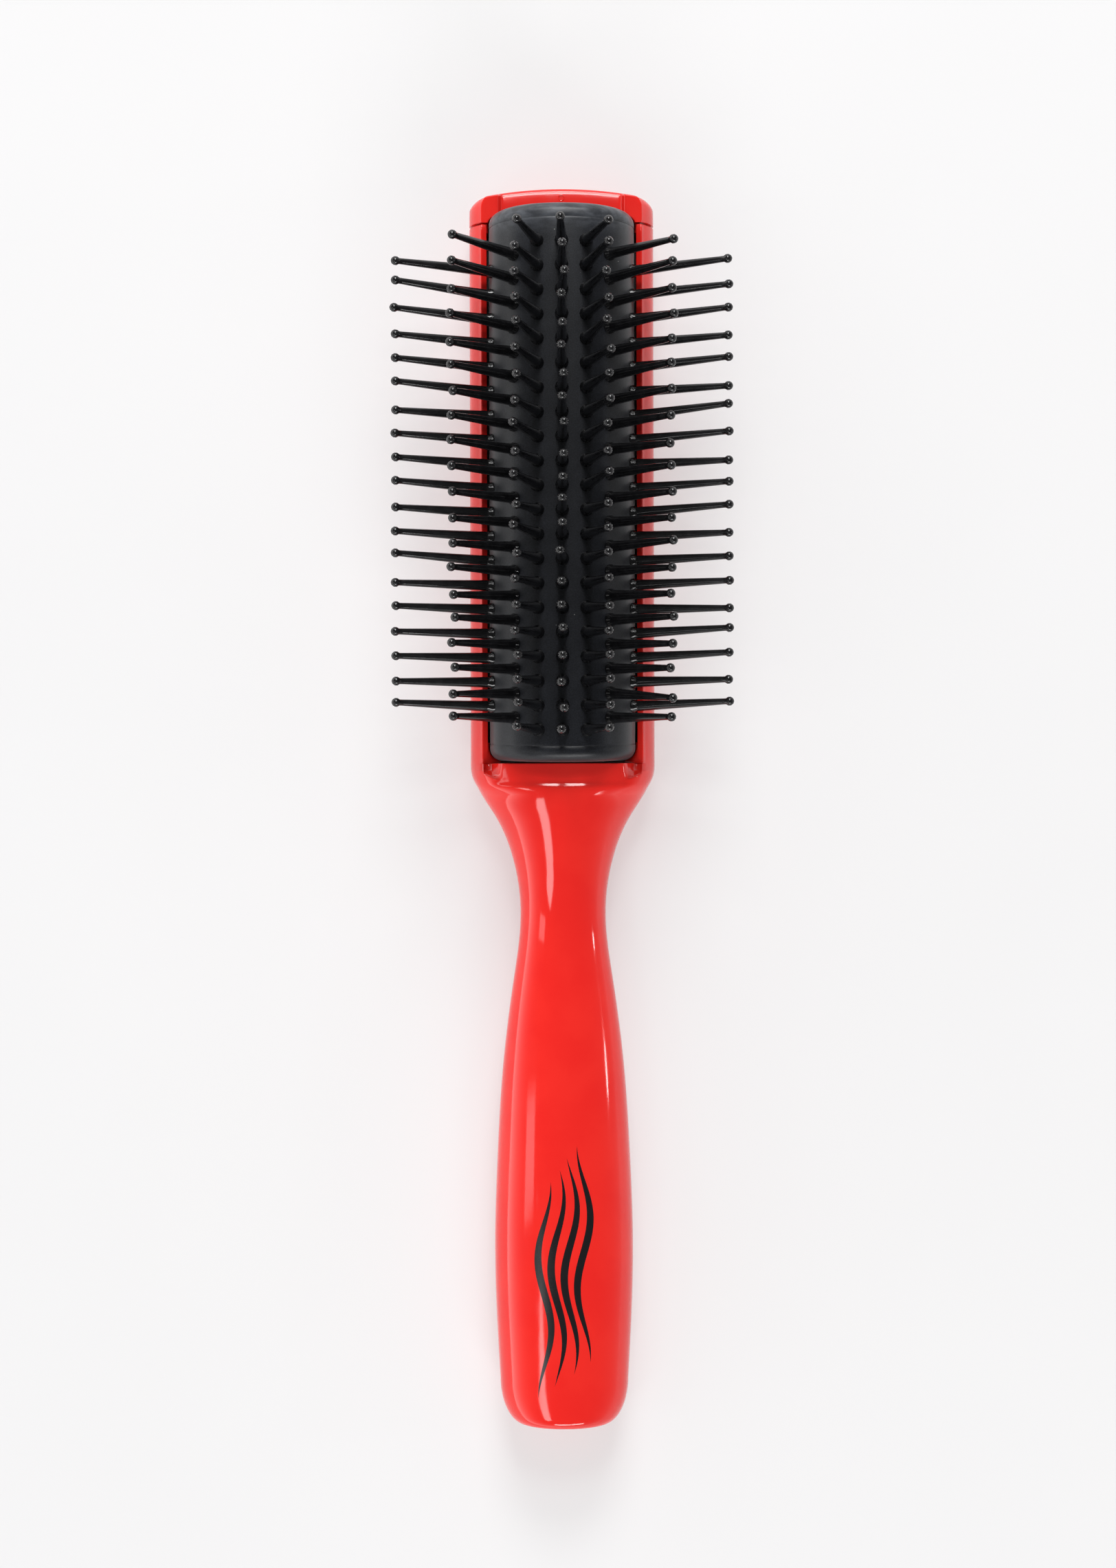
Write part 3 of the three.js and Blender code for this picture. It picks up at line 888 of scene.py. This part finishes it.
    def rings(self) -> list[np.ndarray]:
        """Every ring from the handle's end to the end of the rails."""
        made = []
        join = self.end_y + self.end_length
        for i in range(1, self.end_rings):
            turn = pi / 2 * i / self.end_rings
            along = cos(turn) ** self.end_crowding
            narrow = lerp(self.end_face, 1.0, sqrt(1.0 - along * along))
            y = join - self.end_length * along
            past = max(0.0, self.end_y + self.end_round - y)
            dropped = self.end_round - sqrt(self.end_round**2 - past**2)
            flat = 1.0 - dropped / (self.top_at(join) - self.widest_at(join))
            made.append(ring_at(y, self.oval_half(join, narrow, flat)))
        fine_start = self.crest_y - 1.0
        count = int((fine_start - join) / self.ring_pitch)
        for i in range(count):
            y = lerp(join, fine_start, i / count)
            made.append(ring_at(y, self.oval_half(y)))
        fine = self.shoulder_rings
        edge_start = self.channel_start - self.lip_edge
        places = [lerp(fine_start, edge_start, i / fine) for i in range(fine)]
        places += [edge_start + self.lip_edge * sin(radians(t)) for t in range(0, 91, 15)]
        for y in places:
            half = self.shoulder_half(y) if y > self.crest_y else self.oval_half(y)
            made.append(ring_at(y, half))
        for y, wall_x in self.channel_places():
            half = self.section.channel_half(self.lip_height(y), wall_x)
            made.append(ring_at(y + 1e-3, half))
        last_wall = self.pad.corner_half(3.0) + self.pad_gap
        rail_end = self.section.channel_half(self.section.rail_top - 0.15, last_wall)
        last = [(x * 0.992, z) for x, z in rail_end]
        made.append(ring_at(self.tip_end, last))
        return made

    def channel_places(self) -> list[Point]:
        """Places of the rings along the channel, each with the channel's half width there."""
        pad = self.pad
        corner = [0.0, 0.1, 0.3, 0.6, 1.0, 1.5, 2.0, 2.6]
        ys = [self.channel_start] + [pad.start + d for d in corner] + [self.slit_start - 0.1]
        start = [(y, pad.corner_half(y - pad.start) + self.pad_gap) for y in ys]
        open_x = self.section.inner_wall
        slit = [(self.slit_start, open_x), (self.slit_end, open_x)]
        closed = pad.corner_half(3.0) + self.pad_gap
        end = [(self.slit_end + 0.1, closed), (self.tip_end - 0.15, closed)]
        return start + slit + end

    def build(self, finish: Material) -> Piece:
        """Builds and dresses the body."""
        piece = Loft(self.rings()).build()
        return Bench.settle(piece, "moulded_body", 38, finish)


@dataclass
class EndClip:
    """Cap at the tip of the head: two corner posts with a lower bowed brow between them."""

    section: HeadSection
    pad: "RubberPad"  # the rubber pad that the clip closes in
    start: float = 103.7  # face that meets the rails
    tip: float = 110.0
    corner: float = 2.8  # rounding of the corners in plan
    bow: float = 74.0  # radius of the bowed front
    brow_half: float = 10.7  # half width of the brow
    wall_slope: float = 0.35  # run of the sloping wall between a post and the brow
    pad_gap: float = 0.15  # between the pad and the pocket
    brow_top: float = 12.6  # height of the brow beside the pad
    brow_drop: float = 0.16  # how far the brow falls towards the tip
    brow_power: float = 2.4  # how late it falls
    brow_edge: float = 0.8  # rounding of the brow's front edge
    gate: Point = (108.3, 0.5)  # place and radius of the small ring left by the moulding
    lip_share: float = 0.85  # how far the rim is drawn in with the corners, against the sides
    lift_share: float = 0.62  # how far the underside is lifted with them
    post_soft: float = 0.8  # length over which the posts round off at the front
    edge: float = 0.28  # rounding of the posts' long edges
    # low and high corner of the tongue that snaps under the pad
    tongue: tuple[Sequence[float], Sequence[float]] = ((-8.0, 93.7, 5.8), (8.0, 108.4, 8.0))

    @property
    def pocket_end(self) -> float:
        """Where the pocket for the pad ends."""
        return self.pad.end + self.pad_gap

    def brow_at(self, y: float) -> float:
        """Height of the brow."""
        past = max(0.0, (y - self.pocket_end) / (self.tip - self.pocket_end))
        turn = max(0.0, 1.0 - (self.tip - y) / self.brow_edge)
        rounded = self.brow_edge * (1.0 - sqrt(1.0 - turn * turn))
        return self.brow_top - self.brow_drop * past**self.brow_power - rounded

    def half(self, y: float, inset: float, pocket: bool) -> list[Point]:
        """Right half of the clip's section.

        Args:
            y: Place along the brush.
            inset: How far the outline is drawn in here.
            pocket: True where the pocket for the pad is.

        Returns:
            Points from the middle of the underside to the middle of the top.
        """
        section = self.section
        brow = self.brow_at(y)
        post = lerp(section.rail_top, brow, ease(y, self.tip - self.post_soft, self.tip + 0.1))
        lip = section.lip - self.lip_share * inset
        points = section.back(inset, self.lift_share * inset) + section.flank(inset, post, lip)
        edge = self.edge
        if pocket:
            slope, low = 0.0, section.floor
            wall = self.pad.corner_half(self.pad.end - y) + self.pad_gap
        else:
            slope, low = self.wall_slope, brow
            wall = min(self.brow_half, lip - slope - 3 * edge)
        points += arc((lip - edge, post - edge), (edge, edge), 0, 90, 3)
        points += line((lip - edge, post), (wall + slope + edge, post), 6)
        foot = min(edge, (post - low) / 2)
        points += arc((wall + slope + edge, post - foot), (edge, foot), 90, 180, 3)
        points += line((wall + slope, post - foot), (wall, low + foot), 2)
        points += arc((wall - edge, low + foot), (edge, foot), 0, -90, 3)
        return points + line((wall - edge, low), (0.0, low), 16)

    def ring(self, y: float, inset: float, pocket: bool) -> np.ndarray:
        """Bowed ring of the clip."""
        made = ring_at(y, self.half(y, inset, pocket))
        share = (y - self.start) / (self.tip - self.start)
        made[:, 1] -= made[:, 0] ** 2 / (2 * self.bow) * share
        return made

    def gate_mark(self) -> Piece:
        """Small ring on the brow, sunk to half its height."""
        y, radius = self.gate
        Bench.clear()
        bpy.ops.mesh.primitive_torus_add(
            location=(0.0, y * MM, (self.brow_at(y) + 0.01) * MM),
            major_radius=radius * MM,
            minor_radius=0.09 * MM,
            major_segments=20,
            minor_segments=8,
        )
        return bpy.context.active_object

    def build(self, finish: Material) -> Piece:
        """Builds and dresses the clip."""
        rings = [self.ring(self.start, 0.18, True), self.ring(self.start + 0.15, 0.0, True)]
        before = (1.6, 1.1, 0.7, 0.4, 0.2, 0.05, 0.0)
        rings += [self.ring(self.pocket_end - d, 0.0, True) for d in before]
        rings.append(self.ring(self.pocket_end + 1e-3, 0.0, False))
        steps = 14
        for i in range(1, steps + 1):
            turn = radians(lerp(0, 90, i / steps))
            y = self.tip - self.corner + self.corner * sin(turn)
            rings.append(self.ring(y, self.corner * (1 - cos(turn)), False))
        piece = Loft(rings).build()
        Bench.combine(piece, "UNION", (Bench.box(*self.tongue, rounding=0.3), self.gate_mark()))
        return Bench.settle(piece, "moulded_clip", 38, finish)


@dataclass
class Arch:
    """Outer arch of the rubber pad: a flatter crown between two tighter haunches."""

    crown_radius: float = 23.0
    crown_deg: float = 10.0  # half angle of the crown
    haunch_radius: float = 10.7
    spring_z: float = 12.75  # height where the arch meets its upright walls

    def point(self, angle_deg: float, depth: float = 0.0) -> Point:
        """Point of the arch at an angle from upright, a depth below its surface."""
        side = -1.0 if angle_deg < 0 else 1.0
        angle = radians(abs(angle_deg))
        crown = radians(self.crown_deg)
        shift = self.crown_radius - self.haunch_radius
        if angle <= crown:
            radius = self.crown_radius - depth
            centre = (0.0, self.spring_z - shift * cos(crown))
        else:
            radius = self.haunch_radius - depth
            centre = (shift * sin(crown), self.spring_z)
        return side * (centre[0] + radius * sin(angle)), centre[1] + radius * cos(angle)

    def half(self, depth: float, steps: int) -> list[Point]:
        """Right half of the arch, from its springing up to the crown."""
        return [self.point(90.0 * (1 - i / steps), depth) for i in range(steps + 1)]


@dataclass
class RubberPad:
    """Arched rubber pad with soft ends and a flange along each side."""

    arch: Arch
    start: float = 8.4  # handle end
    end: float = 105.7  # tip end
    rounding: float = 2.0  # softness of both ends
    bow: float = 0.6  # how far the middle of each end stands out past its corners
    thickness: float = 2.4  # of the rubber
    bottom: float = 5.8  # height of its lower edge
    flange: float = 14.2  # half width over the flanges
    flange_top: float = 7.5  # height of the flanges
    seam: float = 2.7  # distance of the fine moulding line from each end
    end_reach: float = 6.0  # distance from an end where its bow has died away
    slot_half: float = 8.3  # half width of the slot for the clip's tongue
    slot_top: float = 8.3  # height of that slot

    def half(self, inset: float) -> list[Point]:
        """Right half of the pad's outline, from the middle of its lower edge to the crown."""
        arch = self.arch.half(inset, 30)
        wall = arch[0][0]
        flange = self.flange - inset
        points = [(0.0, self.bottom)] + line((0.0, self.bottom), (flange, self.bottom), 4)
        points += [(flange, self.flange_top), (wall, self.flange_top)]
        return points + line((wall, self.flange_top), (wall, self.arch.spring_z), 3)[:-1] + arch

    def corner_half(self, distance: float) -> float:
        """Half width of the pad's walls at a distance from the middle of its end."""
        wall = self.arch.point(90.0)[0]
        behind = distance - self.bow * (wall / self.flange) ** 2
        along = min(1.0, max(0.0, 1.0 - behind / self.rounding))
        return wall - self.rounding * (1.0 - sqrt(1.0 - along * along))

    def end_profile(self) -> list[Point]:
        """Distance from the end and inset, from the end cap to the full section."""
        turns = [radians(90.0 * i / 9) for i in range(10)]
        soft = [(self.rounding * (1 - sin(t)), self.rounding * (1 - cos(t))) for t in turns[::-1]]
        line_width = 0.10
        groove = [
            (self.seam - line_width, 0.0),
            (self.seam, 0.06),
            (self.seam + line_width, 0.02),
            (self.seam + 4 * line_width, 0.02),
        ]
        return soft + groove

    def end_ring(self, end: float, inwards: float, distance: float, inset: float) -> np.ndarray:
        """Ring near one end of the pad, bowed like the end.

        Args:
            end: Place of the end.
            inwards: 1 or -1, towards the middle of the pad.
            distance: From the end.
            inset: How far the outline is drawn in here.

        Returns:
            The ring.
        """
        made = ring_at(end + inwards * distance, self.half(inset))
        held = 1.0 - ease(distance, self.seam, self.end_reach)
        made[:, 1] += inwards * self.bow * held * (made[:, 0] / self.flange) ** 2
        return made

    def build(self, finish: Material, cutters: Callable[[], Piece]) -> Piece:
        """Builds and dresses the pad.

        Args:
            finish: Its material.
            cutters: Makes one piece that holds a cutter for every pin hole.

        Returns:
            The pad.
        """
        profile = self.end_profile()
        rings = [self.end_ring(self.start, 1.0, d, inset) for d, inset in profile]
        middle = np.linspace(self.start + self.end_reach, self.end - self.end_reach, 20)
        rings += [ring_at(y, self.half(0.0)) for y in middle]
        rings += [self.end_ring(self.end, -1.0, d, inset) for d, inset in reversed(profile)]
        piece = Loft(rings).build()
        hollow = self._hollow()
        past = 3.0
        low = (-self.slot_half, self.end - 2 * past, self.bottom - past)
        slot = Bench.box(low, (self.slot_half, self.end + past, self.slot_top))
        Bench.combine(piece, "DIFFERENCE", (hollow, slot, cutters()))
        return Bench.settle(piece, "arched_pad", 32, finish)

    def _hollow(self) -> Piece:
        """Cutter for the space under the pad."""
        arch = self.arch.half(self.thickness, 16)
        half = [(0.0, self.bottom - 1), (arch[0][0], self.bottom - 1)] + arch
        ends = (self.start + self.thickness, self.end - self.thickness)
        return Loft([ring_at(y, half) for y in ends]).build()


@dataclass
class PinShape:
    """One pin, drawn as heights above the rubber and radii."""

    length: float = 18.5  # from the rubber to the end of the ball
    ball: float = 0.82  # radius of the ball tip
    neck: float = 0.55  # radius below the ball
    shaft: float = 0.96  # radius above the collar
    collar: float = 1.20  # radius of the collar that stands on the rubber
    collar_height: float = 0.75  # its height
    root: float = 0.88  # radius inside the rubber
    root_depth: float = 3.3  # how far the pin goes down to its strip
    sides: int = 12  # faces round the pin

    def profile(self) -> list[Point]:
        """Heights and radii from the root to the tip."""
        centre = self.length - self.ball
        points = [(-self.root_depth, self.root), (-0.25, self.root), (-0.25, self.collar)]
        points.append((self.collar_height - 0.3, self.collar - 0.02))
        points.append((self.collar_height, self.collar - 0.25))
        points += [(self.collar_height + 0.55, self.shaft), (centre - self.ball * 1.5, self.neck)]
        for turn in (-48, -15, 18, 50, 76):
            angle = radians(turn)
            points.append((centre + self.ball * sin(angle), self.ball * cos(angle)))
        return points

    def build(self) -> Piece:
        """Extrudes a disc through the profile and closes it at the ball."""
        turns = [2 * pi * i / self.sides for i in range(self.sides)]
        rings = []
        for height, radius in self.profile():
            ring = [(radius * cos(t), radius * sin(t), height) for t in turns]
            rings.append(np.array(ring))
        return Loft(rings).build()


@dataclass
class PinRow:
    """Row of pins on a base strip that lies under the pad."""

    number: int  # from the left
    tilt: float  # lean from upright across the brush, in degrees
    trim: float  # pins left off at each end; half a pin staggers the row
    arch: Arch
    lean: float  # lean of the whole row towards the tip, in degrees
    longest: int = 21  # pins of the longest row
    first_y: float = 98.9  # place of its first pin, at the tip end
    pitch: float = 4.245  # spacing of the pins
    strip_half: float = 1.1  # half width of the base strip
    strip_thickness: float = 1.2  # of the strip
    strip_depth: float = 2.78  # from the rubber's surface down to the strip
    overhang: float = 2.0  # of the strip past the last pin at each end
    seed: int = 70  # start of the random draws, with the row's number
    stray_fore: float = 0.9  # spread of the pins' lean along the brush, in degrees
    stray_across: float = 0.8  # spread of their lean across it

    @property
    def places(self) -> list[float]:
        """Places of the pins along the brush, from the tip end."""
        count = int(self.longest - 2 * self.trim)
        return [self.first_y - (self.trim + i) * self.pitch for i in range(count)]

    def stance(self, y: float) -> Matrix:
        """Placement that stands a pin on the pad at y."""
        x, z = self.arch.point(self.tilt)
        spot = Matrix.Translation(Vector((x, y, z)) * MM)
        return spot @ Matrix.Rotation(radians(self.tilt), 4, "Y")

    def drift(self, share: float) -> float:
        """Lean of a pin towards the tip.

        Args:
            share: How far along the row the pin stands, from the tip end.

        Returns:
            The lean in degrees.
        """
        steady = self.lean * (1.0 + 0.5 * share)
        last_pin = (3.4 - 1.2 * self.lean) * ease(share, 0.93, 1.0)
        wander = 1.4 * cos(2.6 * share + 0.4) - 1.3 * share
        return steady + last_pin + wander

    def build(self, pattern: Piece, finish: Material) -> Piece:
        """Copies the pattern pin along the row and joins the copies to their strip.

        Args:
            pattern: The finished pin.
            finish: Material of the row.

        Returns:
            The row as one piece.
        """
        chance = random.Random(self.seed + self.number)
        places = self.places
        top = -self.strip_depth
        low = (-self.strip_half, places[-1] - self.overhang, top - self.strip_thickness)
        high = (self.strip_half, places[0] + self.overhang, top)
        strip = Bench.box(low, high, rounding=0.2)
        strip.data.transform(self.stance(0.0))
        parts = [strip]
        for i, y in enumerate(places):
            drift = self.drift(i / (len(places) - 1))
            fore = radians(drift + chance.gauss(0.0, self.stray_fore))
            across = radians(chance.gauss(0.0, self.stray_across))
            lean = Matrix.Rotation(-fore, 4, "X") @ Matrix.Rotation(across, 4, "Y")
            copy = pattern.copy()
            copy.data = pattern.data.copy()
            bpy.context.collection.objects.link(copy)
            copy.data.transform(self.stance(y) @ lean)
            parts.append(copy)
        piece = Bench.join(parts)
        return Bench.settle(piece, f"moulded_pins_{self.number}", 40, finish)

    def cutters(self, radius: float, sides: int) -> list[Piece]:
        """Makes the cutters for the holes of this row in the pad.

        Args:
            radius: Of a hole.
            sides: Faces round a hole.

        Returns:
            One cutter for each pin.
        """
        depth = 7 * MM
        sink = Matrix.Translation((0, 0, -1.2 * MM))
        made = []
        for y in self.places:
            Bench.clear()
            bpy.ops.mesh.primitive_cylinder_add(vertices=sides, radius=radius * MM, depth=depth)
            cutter = bpy.context.active_object
            cutter.data.transform(self.stance(y) @ sink)
            made.append(cutter)
        return made


@dataclass
class Brush:
    """The whole hairbrush, built from its sub-assemblies."""

    section: HeadSection = field(default_factory=HeadSection)
    arch: Arch = field(default_factory=Arch)
    pin: PinShape = field(default_factory=PinShape)
    tilts: tuple[float, ...] = (-71, -35.5, -11.5, 0, 11.5, 35.5, 71)
    trims: tuple[float, ...] = (1, 0.5, 0, 0, 0, 0.5, 1)
    leans: tuple[float, ...] = (2.2, 0.3, 0.3, 0.3, 0.3, 0.3, 2.2)
    hole_radius: float = 1.13
    hole_sides: int = 10

    def rows(self) -> list[PinRow]:
        """Seven rows from the left to the right."""
        kinds = enumerate(zip(self.tilts, self.trims, self.leans), start=1)
        return [PinRow(i, tilt, trim, self.arch, lean) for i, (tilt, trim, lean) in kinds]

    def hole_cutters(self) -> Piece:
        """One piece with a cutter for every pin hole."""
        cutters = [row.cutters(self.hole_radius, self.hole_sides) for row in self.rows()]
        return Bench.join(sum(cutters, []))

    def build(self) -> None:
        """Builds every piece and ties it to its body."""
        red = GlossRed(motif=StrandMotif()).build("gloss_red_printed")
        plain_red = GlossRed().build("gloss_red")
        rubber = SatinRubber().build("satin_rubber")
        black = BlackNylon().build("black_nylon")
        rubber_pad = RubberPad(self.arch)
        body = HandleBody(self.section, rubber_pad).build(red)
        self.tie(body, "handle", "handle_body", Finish.RED)
        clip = EndClip(self.section, rubber_pad).build(plain_red)
        self.tie(clip, "clip", "end_clip", Finish.RED)
        pad = rubber_pad.build(rubber, self.hole_cutters)
        self.tie(pad, "pad", "rubber_pad", Finish.RUBBER)
        pattern = self.pin.build()
        for row in self.rows():
            piece = row.build(pattern, black)
            self.tie(piece, f"row_{row.number}", f"pin_row_{row.number}", Finish.BLACK)
        bpy.data.objects.remove(pattern)

    @staticmethod
    def tie(piece: Piece, body: str, node: str, finish: Finish) -> None:
        """Rides a piece on its body in place of its plain node.

        Args:
            piece: The finished piece.
            body: Body that it moves with.
            node: Node that it stands for.
            finish: Its finish; not used.
        """
        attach(piece, body)
        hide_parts(node)
        LOG.info("%s: %d faces on %s", piece.name, len(piece.data.polygons), body)


# ---- stage


@dataclass
class SoftLight:
    """Rectangular soft light aimed at the brush."""

    name: str  # its name
    place: Triple  # where it stands, in metres
    aim: Triple  # what it points at, in metres
    size: tuple[float, float]  # width and length, in metres
    power: float  # in watts

    def build(self) -> None:
        """Adds the light."""
        data = bpy.data.lights.new(self.name, "AREA")
        data.shape = "RECTANGLE"
        data.size, data.size_y = self.size
        data.energy = self.power
        lamp = bpy.data.objects.new(self.name, data)
        bpy.context.collection.objects.link(lamp)
        lamp.location = self.place
        direction = Vector(self.aim) - Vector(self.place)
        lamp.rotation_euler = direction.to_track_quat("-Z", "Y").to_euler()


@dataclass
class Studio:
    """Pale table, soft light and the camera straight above the brush."""

    camera_height: float = 0.540  # in metres, as are its other two places
    camera_x: float = -0.00085
    camera_y: float = 0.0046  # place along the brush
    camera_turn_deg: float = -0.16  # turn about its line of sight
    lens: float = 68.45  # focal length
    table: float = 1.8  # radius of the table, in metres
    overhead: float = 0.15  # light of the room from straight above
    horizon: float = 2.1  # light of the room from low down
    horizon_fade: float = 3.0  # how soon that light fades with height
    leftward: float = 0.75  # how much brighter the left of the room is
    room_color: Triple = (1.0, 0.995, 0.99)  # tint of the room

    def build(self) -> None:
        """Adds the table, lights and camera."""
        self.add_table()
        self.add_surroundings()
        for light in self.lights():
            light.build()
        self.add_camera()

    def lights(self) -> list[SoftLight]:
        """Every lamp of the studio."""
        return [
            SoftLight("handle_side", (0.12, -0.87, 0.62), (0.0, -0.02, 0.0), (0.70, 0.22), 5.7),
            SoftLight("tip_side", (0.03, 0.90, 0.70), (0.0, 0.0, 0.0), (0.45, 0.30), 7.8),
            SoftLight("ridge", (0.015, 0.40, 0.65), (0.0, 0.0, 0.0), (0.18, 0.14), 1.2),
            SoftLight("upper_streak", (-0.34, -0.32, 0.70), (0.0, 0.0, 0.0), (0.17, 0.15), 0.48),
            SoftLight("lower_streak", (-0.66, -0.105, 0.70), (0.0, -0.05, 0.0), (0.16, 0.24), 0.30),
            SoftLight("right_line", (0.85, -0.005, 0.34), (0.0, -0.03, 0.0), (0.065, 0.05), 0.25),
        ]

    def add_table(self) -> None:
        """Adds the pale surface under the brush."""
        Bench.clear()
        bpy.ops.mesh.primitive_circle_add(vertices=128, radius=self.table, fill_type="NGON")
        table = bpy.context.active_object
        table.name = "table"
        table.data.materials.append(PalePaper().build("pale_paper"))

    def add_surroundings(self) -> None:
        """Adds the room's light: bright low down, most of all on the left, and dim overhead."""
        world = bpy.data.worlds.new("white_room")
        bpy.context.scene.world = world
        world.use_nodes = True
        nodes = Nodes(world.node_tree)
        toward = nodes.wire(nodes.node("ShaderNodeTexCoord"), "Generated")
        split = nodes.node("ShaderNodeSeparateXYZ", None, {0: toward})
        low = nodes.math("POWER", 1.0 - nodes.wire(split, "Z"), self.horizon_fade)
        sided = nodes.wire(split, "X") * -self.leftward + 1.0
        total = low * sided * self.horizon + self.overhead
        background = world.node_tree.nodes["Background"]
        background.inputs["Color"].default_value = (*self.room_color, 1.0)
        world.node_tree.links.new(total.socket, background.inputs["Strength"])

    def add_camera(self) -> None:
        """Adds the camera, looking straight down with the tip of the brush at the top."""
        data = bpy.data.cameras.new("camera")
        data.lens = self.lens
        camera = bpy.data.objects.new("camera", data)
        bpy.context.collection.objects.link(camera)
        camera.location = (self.camera_x, self.camera_y, self.camera_height)
        camera.rotation_euler = (0.0, 0.0, radians(self.camera_turn_deg))
        bpy.context.scene.camera = camera


def main() -> None:
    """Builds the brush and its studio."""
    logging.basicConfig(level=logging.INFO)
    bpy.context.scene.view_settings.view_transform = "Standard"
    Studio().build()
    Brush().build()


if __name__ == "__main__":
    main()
